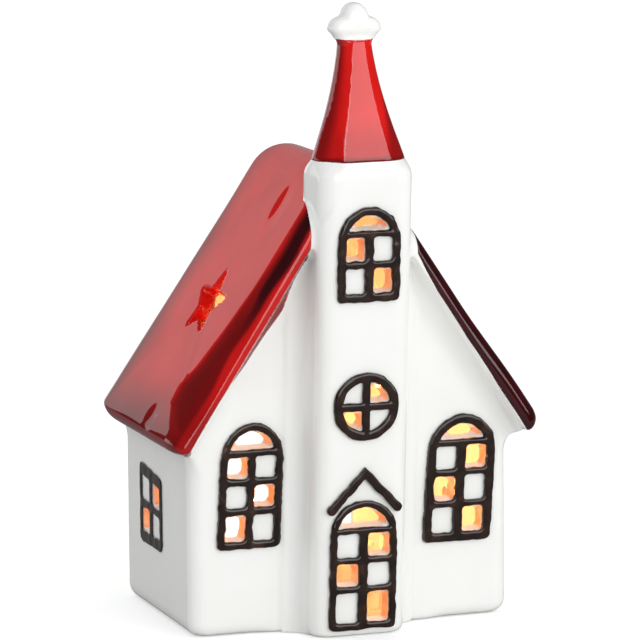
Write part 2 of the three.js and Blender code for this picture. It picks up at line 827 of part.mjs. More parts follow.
const point = (radius, height) => new THREE.Vector2(radius, height);

// Outline at a depth: five blunt lobes, one up and the others drooping a little
function starRing(y, inset) {
  const points = [];
  for (let i = 0; i < STAR_STEPS; i += 1) {
    const turn = (i / STAR_STEPS) * 4 * quarter;
    const lobe = ((1 + Math.cos(5 * turn)) / 2) ** STAR_BLUNTNESS;
    const reach = THREE.MathUtils.lerp(STAR_NOTCH_RADIUS, STAR_RADIUS, lobe) - inset;
    const facing = turn + STAR_DROOP * Math.sin(turn);
    points.push(new THREE.Vector3(
      -reach * Math.sin(facing),
      y,
      STAR_STRETCH * reach * Math.cos(facing),
    ));
  }
  return points;
}

function starFinial() {
  const rear = [];
  const front = [];
  for (let step = 0; step <= ROUND_STEPS; step += 1) {
    const angle = (step / ROUND_STEPS) * quarter;
    const y = STAR_THICKNESS / 2 - STAR_ROUND * (1 - Math.cos(angle));
    const inset = STAR_ROUND * (1 - Math.sin(angle));
    rear.push(starRing(y, inset));
    front.unshift(starRing(-y, inset));
  }
  const geometry = loft([...rear, ...front], ({ x, z }) => new THREE.Vector2(x, z));
  geometry.translate(
    leanAt(towerTop) + SPIRE_LEAN * SPIRE_HEIGHT,
    towerMiddleY,
    starFoot + STAR_HEIGHT - STAR_STRETCH * STAR_RADIUS,
  );
  return toSolid(geometry).subtract(block(-BEYOND, BEYOND, -BEYOND, BEYOND, -BEYOND, starFoot));
}

// Tealight, drawn about its own axis from the underside of the cup

const waxFoot = CUP_SHEET + CANDLE_GAP;
const waxTop = waxFoot + WAX_HEIGHT;

function tealightCup() {
  const inner = CUP_RADIUS - CUP_SHEET;
  return toSolid(turned([
    point(0, 0),
    point(CUP_RADIUS - 1, 0),
    point(CUP_RADIUS, 1),
    point(CUP_RADIUS, CUP_HEIGHT - 2 * CUP_RIM),
    point(CUP_RADIUS + CUP_RIM, CUP_HEIGHT - CUP_RIM),
    point(CUP_RADIUS + CUP_RIM / 2, CUP_HEIGHT),
    point(inner, CUP_HEIGHT),
    point(inner, CUP_SHEET),
    point(0, CUP_SHEET),
  ], 40));
}

function tealightWax() {
  const outer = CUP_RADIUS - CUP_SHEET - CANDLE_GAP;
  const bore = WICK_RADIUS + WICK_GAP;
  const neck = SUSTAINER_NECK_RADIUS + WICK_GAP;
  const foot = SUSTAINER_RADIUS + WICK_GAP;
  const discTop = waxFoot + SUSTAINER_SHEET + WICK_GAP;
  const neckTop = waxFoot + SUSTAINER_NECK_HEIGHT + WICK_GAP;
  return toSolid(turned([
    point(foot, waxFoot),
    point(outer, waxFoot),
    point(outer, waxTop),
    point(outer - 1, waxTop - WAX_DISH / 2),
    point(outer * 0.6, waxTop - WAX_DISH),
    point(bore, waxTop - WAX_DISH),
    point(bore, neckTop),
    point(neck, neckTop),
    point(neck, discTop),
    point(foot, discTop),
    point(foot, waxFoot),
  ], 40));
}

function wickSustainer() {
  const bore = WICK_RADIUS + WICK_GAP;
  return toSolid(turned([
    point(bore, waxFoot),
    point(SUSTAINER_RADIUS, waxFoot),
    point(SUSTAINER_RADIUS, waxFoot + SUSTAINER_SHEET),
    point(SUSTAINER_NECK_RADIUS, waxFoot + SUSTAINER_SHEET),
    point(SUSTAINER_NECK_RADIUS, waxFoot + SUSTAINER_NECK_HEIGHT),
    point(bore, waxFoot + SUSTAINER_NECK_HEIGHT),
    point(bore, waxFoot),
  ], 24));
}

function tealightWick() {
  const tip = waxTop + WICK_ABOVE_WAX;
  const path = new THREE.CatmullRomCurve3([
    new THREE.Vector3(0, 0, waxFoot),
    new THREE.Vector3(0, 0, waxTop / 2),
    new THREE.Vector3(0, 0, waxTop),
    new THREE.Vector3(WICK_BEND / 4, 0, waxTop + WICK_ABOVE_WAX / 2),
    new THREE.Vector3(WICK_BEND, 0, tip),
  ]);
  const section = new THREE.Shape().absarc(0, 0, WICK_RADIUS, 0, 4 * quarter);
  return toSolid(new THREE.ExtrudeGeometry(section, { steps: 12, curveSegments: 5, extrudePath: path }));
}

// Finishes

const whiteGlaze = { color: 0xf4f3ee, roughness: 0.12, metalness: 0 };
const redGlaze = { color: 0xb3141a, roughness: 0.08, metalness: 0 };
const brownGlaze = { color: 0x33231c, roughness: 0.2, metalness: 0 };
const aluminium = { color: 0xc9cacc, roughness: 0.35, metalness: 1 };
const tinnedSteel = { color: 0xa9abae, roughness: 0.4, metalness: 1 };
const wax = { color: 0xf6f2e6, roughness: 0.45, metalness: 0 };
const cotton = { color: 0x3b342c, roughness: 0.95, metalness: 0 };

function piece(name, solid, finish) {
  const mesh = new THREE.Mesh(toGeometry(solid), new THREE.MeshStandardMaterial(finish));
  mesh.name = name;
  return mesh;
}

const church = new THREE.Group();
church.add(
  piece('church_walls', churchWalls(), whiteGlaze),
  piece('bell_tower', bellTower(), whiteGlaze),
  piece('gable_roof', gableRoof(), redGlaze),
  piece('tower_spire', towerSpire(), redGlaze),
  piece('star_finial', starFinial(), whiteGlaze),
  piece('left_window_frame', archedFrame(LEFT_WINDOW, facadeY, -1), brownGlaze),
  piece('right_window_frame', archedFrame(RIGHT_WINDOW, facadeY, 1), brownGlaze),
  piece('tower_window_frame', archedFrame(TOWER_WINDOW, towerFrontY, 0), brownGlaze),
  piece('rose_window_frame', roseFrame(), brownGlaze),
  piece('door_frame', archedFrame(DOOR, towerFrontY, 0), brownGlaze),
  piece('door_hood', doorHood(), brownGlaze),
  piece('left_side_window_frame', sideFrame(-1), brownGlaze),
  piece('right_side_window_frame', sideFrame(1), brownGlaze),
);

const tealight = new THREE.Group();
tealight.position.set(0, seatY, FLOOR + GLAZE_GAP);
tealight.add(
  piece('tealight_cup', tealightCup(), aluminium),
  piece('tealight_wax', tealightWax(), wax),
  piece('tealight_wick', tealightWick(), cotton),
  piece('wick_sustainer', wickSustainer(), tinnedSteel),
);

const holder = new THREE.Group();
holder.add(church, tealight);

export default holder;
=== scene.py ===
"""Looks of a ceramic church tealight holder: one fused casting under its glazes, a lit tealight, a studio."""
import json
import math

import bmesh
import bpy
import numpy as np
from mathutils import Matrix, Vector

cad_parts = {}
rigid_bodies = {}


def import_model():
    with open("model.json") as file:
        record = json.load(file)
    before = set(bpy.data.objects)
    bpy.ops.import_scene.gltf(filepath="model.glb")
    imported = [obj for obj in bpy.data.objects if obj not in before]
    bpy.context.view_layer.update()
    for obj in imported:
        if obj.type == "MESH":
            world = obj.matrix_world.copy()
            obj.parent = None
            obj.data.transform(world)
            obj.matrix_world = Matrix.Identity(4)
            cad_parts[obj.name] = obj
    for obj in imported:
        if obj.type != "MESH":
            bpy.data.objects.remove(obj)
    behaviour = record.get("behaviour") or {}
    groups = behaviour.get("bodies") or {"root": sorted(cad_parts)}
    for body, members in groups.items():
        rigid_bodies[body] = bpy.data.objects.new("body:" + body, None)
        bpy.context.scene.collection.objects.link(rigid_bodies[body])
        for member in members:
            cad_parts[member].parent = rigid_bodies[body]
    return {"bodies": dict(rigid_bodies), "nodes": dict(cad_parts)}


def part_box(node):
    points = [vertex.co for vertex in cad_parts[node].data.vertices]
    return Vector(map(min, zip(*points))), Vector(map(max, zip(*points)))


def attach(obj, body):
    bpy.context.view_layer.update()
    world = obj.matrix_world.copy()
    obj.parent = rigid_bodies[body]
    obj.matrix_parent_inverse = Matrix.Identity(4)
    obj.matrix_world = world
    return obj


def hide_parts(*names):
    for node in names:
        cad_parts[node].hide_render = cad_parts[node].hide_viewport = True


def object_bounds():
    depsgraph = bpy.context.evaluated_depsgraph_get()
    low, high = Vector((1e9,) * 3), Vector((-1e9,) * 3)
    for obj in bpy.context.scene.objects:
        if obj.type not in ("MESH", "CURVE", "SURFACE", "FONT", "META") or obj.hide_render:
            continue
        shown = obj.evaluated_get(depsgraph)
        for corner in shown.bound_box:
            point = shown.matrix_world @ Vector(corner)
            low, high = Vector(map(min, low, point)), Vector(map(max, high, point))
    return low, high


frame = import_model()
CAD_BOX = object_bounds()

MM = 0.001


def mm(*lengths):
    """Millimetres, turned into metres"""
    return tuple(length * MM for length in lengths)


# Camera, fitted to the photograph: lens and sensor in millimetres
CAMERA_TARGET = Vector((2.42, 7.3, 93.58)) * MM
CAMERA_DISTANCE = 1509.9 * MM
CAMERA_YAW = math.radians(19.1)
CAMERA_PITCH = math.radians(9.26)
CAMERA_ROLL = math.radians(-0.44)
SENSOR_WIDTH = 36.0
LENS = 262.54

# Studio: brightness as a share of white, and greys
LAMP_TARGET = (0, 0, 0.09)
WORLD_FILL = 0.85
WORLD_IN_REFLECTIONS = 0.03
FLOOR_SIZE = 12
FLOOR_GREY = 0.75
FLOOR_GREY_IN_REFLECTIONS = 0.25
FLOOR_GLOW = 0.42

# Card behind the holder, brightest at its left edge: its reflection lies on the left slope
CARD_LEFT = -0.66
CARD_STRIPS = 9
CARD_STRIP_SIZE = (0.15, 1.3)
CARD_Y = 1.8
CARD_Z = 0.5
CARD_RADIANCE = 0.62
CARD_FALL = 0.6

# Flame, as a small lamp over the wick
FLAME_RADIUS = 4 * MM
FLAME_OVER_WICK = 8 * MM
FLAME_WATTS = 0.11
FLAME_COLOUR = (1.0, 0.4, 0.11)

# Grids of the meshes, and how often each is smoothed
WELD = 0.01 * MM
CASTING_VOXEL = 0.7 * MM
CASTING_PASSES = 8
FRAME_VOXEL = 0.25 * MM
FRAME_PASSES = 5
SWELL = 0.22 * MM

# Unevenness is a sum of sine waves: their number, the spread of their lengths, and the size of their sum
WAVE_COUNT = 10
WAVE_SPREAD = (0.7, 1.5)
WAVE_SUM = 1.6

# Unevenness of the skin, of the edges of the glaze and of its painted shade, and of the brush: size and
# wavelength
CASTING_WAVE = mm(0.06, 30)
LEFT_EDGE_WAVE = mm(0.25, 9)
ROOF_EDGE_WAVE = mm(0.1, 12)
SPIRE_FOOT_WAVE = mm(0.1, 9)
SPIRE_TIP_WAVE = mm(0.15, 6)
VERGE_BAND_WAVE = mm(0.6, 24)
REAR_SHADE_WAVE = mm(2, 30)
SHADE_HEIGHT_WAVE = mm(2, 25)
BRUSH_WAVE = mm(0.2, 5)
FINE_BRUSH_WAVE = mm(0.1, 2.2)
BRUSH_BUMPS = mm(0.08, 4)

# Glaze, measured from the nominal skin
WHITE_INSET = 0.14 * MM
RED_INSET = 0.03 * MM
RED_BACK = 0.35 * MM
RED_LIP = 0.5 * MM
FRAME_INSET = 0.1 * MM

# Search for the edge of a glaze along the skin
EDGE_PASSES = 2
EDGE_PROBE = 0.1 * MM
EDGE_LARGEST_MOVE = 0.6 * CASTING_VOXEL
EDGE_LEAST_SLOPE = 0.05
NEARLY_LEVEL = 0.9
TINY = 1e-9

# Roof and house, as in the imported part
ROOF_PITCH = math.radians(56.9)
EAVE_X = 57.6 * MM
EAVE_Z = 59.4 * MM
RIDGE_CENTRE_Z = 134.02 * MM
RIDGE_INNER_RADIUS = 7.5 * MM
FACADE_Y = -28.9 * MM
HOUSE_HALF_WIDTH = 53.7 * MM

# Tower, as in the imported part
TOWER_HALF = mm(15.8, 11.7)
TOWER_CORNER = 6 * MM
TOWER_MIDDLE_Y = -31.3 * MM
TOWER_LEAN = 0.027
LEAN_PIVOT_Z = 74 * MM

# Shallow dents in the left slope: middle, half length up the slope, half width along it, and depth
DENTS = (
    (mm(-16.8, -9, 133.4), 9 * MM, 5 * MM, 0.3 * MM),
    (mm(-59.2, -6, 68.2), 5 * MM, 5 * MM, 0.2 * MM),
    (mm(-34, -32, 107), 4 * MM, 4 * MM, 0.3 * MM),
)
DENT_EDGE = (0, 1.3)

# The front of the left slope bends down from a wavy line: height, and y of the line
BEND_LINE = (
    mm(65, -31.8),
    mm(74, -14.3),
    mm(80, -13.6),
    mm(87, -19.3),
    mm(96, -22.4),
    mm(106, -25.1),
    mm(119, -27.6),
    mm(132, -29),
)
BEND_SLOPE = 0.045
BEND_WIDTH = 1 * MM

# Where the roof's upper skin is reshaped. Here and below, two lengths are where a smooth ramp starts and
# ends, and four are the ends of a rise and of a fall
UPPER_SKIN = mm(2, 4)
LEFT_OF_RIDGE = mm(6, 9)
AWAY_FROM_TOWER = mm(0, 16)
RIDGE_RISE = 0.7 * MM
RIDGE_SIDES = mm(3, 20)
RIGHT_BULGE = 1.3 * MM
BULGE_SIDE = mm(20, 30)
BULGE_HEIGHTS = mm(61, 67, 72, 105)

# Corners of the roof slab, drawn out along the eave
SLAB_SKIN = mm(-0.5, 0.5)
REAR_CORNER_RADIUS = 10 * MM
FRONT_CORNER_RADIUS = 2.5 * MM
CORNER_STRETCH = 1.6

# Star finial: it swells, its arms rise and it narrows towards the neck
STAR_CENTRE = (1 * MM, TOWER_MIDDLE_Y)
STAR_SWELL = 0.25 * MM
STAR_SWELL_HEIGHTS = mm(188, 191)
STAR_RISE = 0.3 * MM
STAR_ARM_HEIGHTS = mm(188.5, 190.5, 192, 198)
STAR_NECK = 0.84
STAR_NECK_HEIGHTS = mm(188.2, 189.2, 189.2, 191.6)

# Extra roundness at the foot of the walls
FOOT_HEIGHT = 5 * MM
FOOT_INSET = 1.8 * MM
FOOT_BLEND = 12 * MM
FOOT_BESIDE_TOWER = mm(24, 34)

# Panes: a painted orange glow at their upright edges, standing for the candle's light through the thin clay,
# and how far the side windows' relief stands out
JAMB_DEPTH = mm(0.4, 4.2)
JAMB_FACING = 0.6
GLOW_STRENGTH = 0.3
SIDE_RELIEF = 0.3

# Rose window
ROSE_CENTRE_Z = 73.8 * MM
ROSE_SIDES = 12
ROSE_OUTER_EDGE = mm(8.3, 9)

# Lower edge of the red on the verges: height, and depth over the roof's underside
LEFT_EDGE = (
    mm(60, -2.9),
    mm(66, 0.1),
    mm(77, 0.2),
    mm(83, -3.0),
    mm(96, -4.0),
    mm(104, -5.4),
    mm(110, -3.6),
    mm(120, -2.0),
    mm(126, 1.3),
)
RIGHT_EDGE = (
    mm(108, 0.4),
    mm(121, 1.7),
)
PLAIN_EDGE = 0.45 * MM
VERGE_ZONE_Y = -27 * MM

# White rim that the roof leaves round the tower
RIGHT_TOWER_MARGIN = 2.8 * MM
LEFT_TOWER_MARGIN = 1.2 * MM
LEFT_MARGIN_FRONT = mm(25, 36)

# Red on the spire: how far it climbs to the star, how far the spire leans, and the field on its inside
SPIRE_TIP_RISE = 0.2 * MM
SPIRE_LEAN = 1 * MM
SPIRE_INSIDE = -1 * MM

# Shares of painted shade and dark reflection on the roof, and where each begins and ends
VERGE_BAND_SHADE = (0.65, 1)
VERGE_BAND_HEIGHTS = mm(86, 112)
VERGE_BAND_REACH = mm(4, 10)
BEND_SHADE = (0.6, 0.75)
BEND_EDGE = mm(0, 3)
BEND_REACH = mm(2, 9)
VERGE_SHADE = (0.5, 0.2)
VERGE_HEIGHTS = mm(66, 86)
VERGE_THIN = 1.5 * MM
VERGE_THIN_HEIGHTS = mm(92, 116)
VERGE_EDGE = mm(0, 1.5)
EAVE_SHADE = 0.8
EAVE_HEIGHTS = mm(62, 84)
REAR_SHADE = 0.85
REAR_REACH = mm(1, 22)
RIGHT_VERGE_BAND_REACH = mm(6, 15)
OVER_RIDGE = mm(2, 14)

# Shares of painted shade on the spire. Angles are degrees from the front, and the twist degrees per
# millimetre
SPIRE_AXIS_X = 1.5 * MM
SPIRE_LEFT_SHADE = 0.65
SPIRE_LEFT_ANGLES = (42, 75)
SPIRE_RIGHT_SHADE = 0.6
SPIRE_RIGHT_ANGLES = (18, 40)
SPIRE_RIGHT_TWIST = 1.6
SPIRE_FOOT_SHADE = 0.8
SPIRE_FOOT_HEIGHTS = mm(0.5, 2.4)
SPIRE_LOW_SHADE = 0.25
SPIRE_LOW_HEIGHTS = mm(5, 15)

WHITE_NODES = ("church_walls", "bell_tower", "star_finial")
CASTING_NODES = ("church_walls", "bell_tower", "gable_roof", "tower_spire", "star_finial")
FRAMES = (
    "left_window_frame",
    "right_window_frame",
    "tower_window_frame",
    "rose_window_frame",
    "door_frame",
    "door_hood",
    "left_side_window_frame",
    "right_side_window_frame",
)
PANED_FRAMES = [node for node in FRAMES if node != "door_hood"]
FRAME_SEED = 20


# Meshes

def new_object(name, data):
    thing = bpy.data.objects.new(name, data)
    bpy.context.scene.collection.objects.link(thing)
    return thing


def cad_copy(name, nodes):
    """One object with closed copies of CAD nodes, each swollen a little so that neighbours meet."""
    joined = bmesh.new()
    for node in nodes:
        part = bmesh.new()
        part.from_mesh(frame["nodes"][node].data)
        bmesh.ops.remove_doubles(part, verts=part.verts, dist=WELD)
        part.normal_update()
        moves = [vert.normal * SWELL for vert in part.verts]
        for vert, move in zip(part.verts, moves):
            vert.co += move
        mesh = bpy.data.meshes.new("part")
        part.to_mesh(mesh)
        part.free()
        joined.from_mesh(mesh)
        bpy.data.meshes.remove(mesh)
    mesh = bpy.data.meshes.new(name)
    joined.to_mesh(mesh)
    joined.free()
    return new_object(name, mesh)


def remesh(thing, voxel):
    """Fuses what overlaps and gives the skin an even grid of small faces, each with four corners."""
    grid = thing.modifiers.new("grid", "REMESH")
    grid.mode = "VOXEL"
    grid.voxel_size = voxel
    graph = bpy.context.evaluated_depsgraph_get()
    mesh = bpy.data.meshes.new_from_object(thing.evaluated_get(graph))
    old = thing.data
    thing.modifiers.clear()
    thing.data = mesh
    bpy.data.meshes.remove(old)


def points_of(thing):
    points = np.empty(len(thing.data.vertices) * 3, np.float32)
    thing.data.vertices.foreach_get("co", points)
    return points.reshape(-1, 3).astype(float)


def normals_of(thing):
    normals = np.empty(len(thing.data.vertices) * 3, np.float32)
    thing.data.vertex_normals.foreach_get("vector", normals)
    return normals.reshape(-1, 3).astype(float)


def faces_of(thing):
    corners = np.empty(len(thing.data.loops), np.int32)
    thing.data.loops.foreach_get("vertex_index", corners)
    return corners.reshape(-1, 4)


def set_points(thing, points):
    thing.data.vertices.foreach_set("co", points.astype(np.float32).ravel())
    thing.data.update()


def set_attribute(thing, name, values):
    attribute = thing.data.attributes.new(name, "FLOAT", "POINT")
    attribute.data.foreach_set("value", values.astype(np.float32))


def shade_smooth(thing):
    thing.data.polygons.foreach_set("use_smooth", [True] * len(thing.data.polygons))


def smooth(thing, passes, inward=0.5, outward=-0.52):
    """Rounds the edges and keeps the size: each step inward is followed by one outward."""
    ends = np.empty(len(thing.data.edges) * 2, np.int32)
    thing.data.edges.foreach_get("vertices", ends)
    first, second = ends.reshape(-1, 2).T
    points = points_of(thing)
    count = len(points)
    degree = np.bincount(first, minlength=count) + np.bincount(second, minlength=count)
    for _ in range(passes):
        for factor in (inward, outward):
            middle = np.empty_like(points)
            for axis in range(3):
                middle[:, axis] = (
                    np.bincount(first, points[second, axis], count)
                    + np.bincount(second, points[first, axis], count)
                ) / degree
            points += factor * (middle - points)
    set_points(thing, points)


def in_cad_box(points):
    """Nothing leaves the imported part's box."""
    low, high = CAD_BOX
    return np.clip(points, np.array(low), np.array(high))


def place(thing, body, slot, *nodes):
    """The piece rides on a body and stands for some CAD nodes, which it hides. The slot is not used."""
    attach(thing, body)
    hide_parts(*nodes)


# Ramps and unevenness

def step(values, start, end):
    """0 up to the start, 1 from the end, and a smooth rise between them"""
    share = np.clip((values - start) / (end - start), 0, 1)
    return share * share * (3 - 2 * share)


def fall(values, start, end):
    """1 up to the start, 0 from the end, and a smooth fall between them"""
    return 1 - step(values, start, end)


def band(values, start, full, fading, end):
    """A rise from the start until full, and a fall from fading to the end"""
    return step(values, start, full) * fall(values, fading, end)


def between(first, second, share):
    return first + (second - first) * share


def waves(points, size, length, seed):
    """Smooth unevenness of about the given size and wavelength, the same on each run"""
    draw = np.random.default_rng(seed)
    directions = draw.normal(size=(WAVE_COUNT, 3))
    directions /= np.linalg.norm(directions, axis=1)[:, None]
    lengths = length * draw.uniform(*WAVE_SPREAD, WAVE_COUNT)
    phases = draw.uniform(0, 2 * math.pi, WAVE_COUNT)
    total = np.sin(points @ (directions * (2 * math.pi / lengths)[:, None]).T + phases)
    return size * total.sum(axis=1) / math.sqrt(WAVE_COUNT) / WAVE_SUM


# Measures on the roof and the tower

def roof_depth(points):
    """Height over the roof's underside, at right angles to it, also round the ridge"""
    x = np.abs(points[:, 0])
    over_centre = points[:, 2] - RIDGE_CENTRE_Z
    underside = EAVE_Z + (EAVE_X - x) * math.tan(ROOF_PITCH)
    on_slope = (points[:, 2] - underside) * math.cos(ROOF_PITCH)
    at_ridge = np.hypot(x, over_centre) - RIDGE_INNER_RADIUS
    return np.where(x < over_centre * math.tan(ROOF_PITCH), at_ridge, on_slope)


def tower_distance(points):
    """Distance outside the tower's upright sides"""
    centre_x = TOWER_LEAN * (points[:, 2] - LEAN_PIVOT_Z)
    across = np.abs(points[:, 0] - centre_x) - (TOWER_HALF[0] - TOWER_CORNER)
    along = np.abs(points[:, 1] - TOWER_MIDDLE_Y) - (TOWER_HALF[1] - TOWER_CORNER)
    outside = np.hypot(np.maximum(across, 0), np.maximum(along, 0))
    return outside + np.minimum(np.maximum(across, along), 0) - TOWER_CORNER


def ahead_of_bend(points):
    """How far a point lies in front of the wavy line of the left slope"""
    return np.interp(points[:, 2], *zip(*BEND_LINE)) - points[:, 1]


# Shapes of the hand-finished casting

def uneven_roof(points):
    """Bends the front of the left slope down, presses the dents into it and lifts the ridge."""
    up_slope = np.array([math.cos(ROOF_PITCH), 0, math.sin(ROOF_PITCH)])
    into_left = np.array([math.sin(ROOF_PITCH), 0, -math.cos(ROOF_PITCH)])
    out_of_right = into_left * [1, 1, -1]
    x, _, height = points.T
    on_top = step(roof_depth(points), *UPPER_SKIN)
    ahead = ahead_of_bend(points)
    drop = BEND_SLOPE * (np.hypot(ahead, BEND_WIDTH) + ahead) / 2
    for middle, length, width, depth in DENTS:
        from_middle = points - np.array(middle)
        share = np.hypot(from_middle @ up_slope / length, from_middle[:, 1] / width)
        drop += depth * fall(share, *DENT_EDGE)
    drop *= on_top * step(-x, *LEFT_OF_RIDGE)
    away = step(tower_distance(points), *AWAY_FROM_TOWER)
    rise = RIDGE_RISE * on_top * away * fall(np.abs(x), *RIDGE_SIDES)
    bulge = RIGHT_BULGE * on_top * step(x, *BULGE_SIDE) * band(height, *BULGE_HEIGHTS)
    moved = points + into_left * drop[:, None] + out_of_right * bulge[:, None]
    moved[:, 2] += rise
    return moved


def round_roof_corners(points):
    """Pulls the four corners of the roof slab in to a round outline, as seen square to the slope."""
    across = math.cos(ROOF_PITCH)
    down = math.sin(ROOF_PITCH)
    on_slab = step(roof_depth(points), *SLAB_SKIN)
    reach = np.abs(points[:, 0]) * across - (points[:, 2] - EAVE_Z) * down
    end = np.max(reach[on_slab == 1])
    at_end = points[(on_slab == 1) & (reach > end - REAR_CORNER_RADIUS)]
    side = np.sign(points[:, 0])
    moved = points.copy()
    for radius, edge_y, facing in (
        (FRONT_CORNER_RADIUS, at_end[:, 1].min(), -1),
        (REAR_CORNER_RADIUS, at_end[:, 1].max(), 1),
    ):
        past_end = np.maximum(reach - end + radius, 0)
        past_side = np.maximum(facing * (points[:, 1] - edge_y) / CORNER_STRETCH + radius, 0)
        length = np.maximum(np.hypot(past_end, past_side), radius)
        in_corner = (past_end > 0) & (past_side > 0)
        pull = np.where(in_corner, 1 - radius / length, 0) * on_slab
        moved[:, 0] -= side * across * pull * past_end
        moved[:, 1] -= facing * CORNER_STRETCH * pull * past_side
        moved[:, 2] += down * pull * past_end
    return moved


def shape_star(points):
    """Narrows the star towards its neck and lifts its arms."""
    height = points[:, 2]
    share = between(1, STAR_NECK, band(height, *STAR_NECK_HEIGHTS))
    moved = points.copy()
    for axis, centre in enumerate(STAR_CENTRE):
        moved[:, axis] = centre + (points[:, axis] - centre) * share
    moved[:, 2] += STAR_RISE * band(height, *STAR_ARM_HEIGHTS)
    return moved


def round_foot(points):
    """Draws the foot of the walls in, all round but at the tower."""
    _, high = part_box("church_walls")
    inset = FOOT_INSET * np.maximum(1 - points[:, 2] / FOOT_HEIGHT, 0) ** 2
    at_side = step(np.abs(points[:, 0]), HOUSE_HALF_WIDTH - FOOT_BLEND, HOUSE_HALF_WIDTH)
    at_rear = step(points[:, 1], high.y - FOOT_BLEND, high.y)
    beside_tower = step(np.abs(points[:, 0]), *FOOT_BESIDE_TOWER)
    in_front = step(-points[:, 1], -FACADE_Y - FOOT_BLEND, -FACADE_Y) * beside_tower
    moved = points.copy()
    moved[:, 0] -= np.sign(points[:, 0]) * inset * at_side
    moved[:, 1] += inset * (in_front - at_rear)
    return moved


def round_rose(points):
    """Turns the rose frame's outer polygon into a circle."""
    from_centre = points[:, [0, 2]] - [0, ROSE_CENTRE_Z]
    sector = 2 * math.pi / ROSE_SIDES
    off_middle = np.arctan2(from_centre[:, 1], from_centre[:, 0]) % sector - sector / 2
    outer = step(np.hypot(from_centre[:, 0], from_centre[:, 1]), *ROSE_OUTER_EDGE)
    stretch = between(1, np.cos(off_middle) / math.cos(sector / 2), outer)
    moved = points.copy()
    moved[:, [0, 2]] = from_centre * stretch[:, None] + [0, ROSE_CENTRE_Z]
    return moved


# Where the red glaze lies. A field is over 0 inside the glaze, and about the distance to its edge

def roof_field(points, normals):
    in_front = points[:, 1] < VERGE_ZONE_Y
    on_left = points[:, 0] < 0
    left_edge = np.interp(points[:, 2], *zip(*LEFT_EDGE)) + waves(points, *LEFT_EDGE_WAVE, seed=31)
    right_edge = np.interp(points[:, 2], *zip(*RIGHT_EDGE))
    edge = np.where(in_front, np.where(on_left, left_edge, right_edge), PLAIN_EDGE)
    depth = roof_depth(points) - edge - waves(points, *ROOF_EDGE_WAVE, seed=32)
    left_margin = LEFT_TOWER_MARGIN * step(-points[:, 1], *LEFT_MARGIN_FRONT)
    margin = np.where(on_left, left_margin, RIGHT_TOWER_MARGIN)
    return np.minimum(depth, tower_distance(points) - margin)


def spire_field(points, normals):
    low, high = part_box("tower_spire")
    over_foot = points[:, 2] - low.z - waves(points, *SPIRE_FOOT_WAVE, seed=33)
    under_tip = high.z + SPIRE_TIP_RISE - points[:, 2] + waves(points, *SPIRE_TIP_WAVE, seed=34)
    lean = np.clip((points[:, 2] - low.z) / (high.z - low.z), 0, 1)
    axis_x = (low.x + high.x) / 2 - SPIRE_LEAN * lean
    outward = normals[:, 0] * (points[:, 0] - axis_x) + normals[:, 1] * (points[:, 1] - TOWER_MIDDLE_Y)
    field = np.minimum(over_foot, under_tip)
    return np.where(outward > 0, field, np.minimum(field, SPIRE_INSIDE))


def meet_edge(points, normals, field, which):
    """Slides the chosen points along the skin to where the field is 0."""
    facing = normals[which]
    upright = np.where(np.abs(facing[:, 2:]) < NEARLY_LEVEL, [[0.0, 0.0, 1.0]], [[1.0, 0.0, 0.0]])
    across = np.cross(facing, upright)
    across /= np.linalg.norm(across, axis=1)[:, None]
    along = np.cross(facing, across)
    for _ in range(EDGE_PASSES):
        here = points[which]
        value = field(here, facing)
        slope = np.zeros_like(here)
        for axis in (across, along):
            rate = field(here + EDGE_PROBE * axis, facing) - field(here - EDGE_PROBE * axis, facing)
            slope += axis * (rate / (2 * EDGE_PROBE))[:, None]
        size = np.maximum((slope ** 2).sum(axis=1), EDGE_LEAST_SLOPE)
        move = -slope * (value / size)[:, None]
        length = np.maximum(np.linalg.norm(move, axis=1), TINY)
        points[which] += move * np.minimum(1, EDGE_LARGEST_MOVE / length)[:, None]


def glaze_shell(name, points, normals, faces, field):
    """Closed thin layer over the part of the skin where the field is over 0"""
    values = field(points, normals)
    chosen = faces[values[faces].mean(axis=1) > 0]
    used, flat = np.unique(chosen, return_inverse=True)
    faces = flat.reshape(-1, 4)
    points = points[used]
    normals = normals[used]
    count = len(used)
    starts = faces.ravel()
    ends = np.roll(faces, -1, axis=1).ravel()
    at_rim = ~np.isin(starts * count + ends, ends * count + starts)
    rim_start = starts[at_rim]
    rim_end = ends[at_rim]
    meet_edge(points, normals, field, np.unique(rim_start))
    inset = between(WHITE_INSET, RED_INSET, step(field(points, normals), 0, RED_LIP))
    outer = points - normals * inset[:, None]
    inner = points - normals * RED_BACK
    rim = np.stack([rim_end, rim_start, rim_start + count, rim_end + count], axis=1)
    everything = np.concatenate([faces, faces[:, ::-1] + count, rim])
    mesh = bpy.data.meshes.new(name)
    mesh.from_pydata(np.concatenate([outer, inner]), [], everything)
    shell = new_object(name, mesh)
    shade_smooth(shell)
    return shell
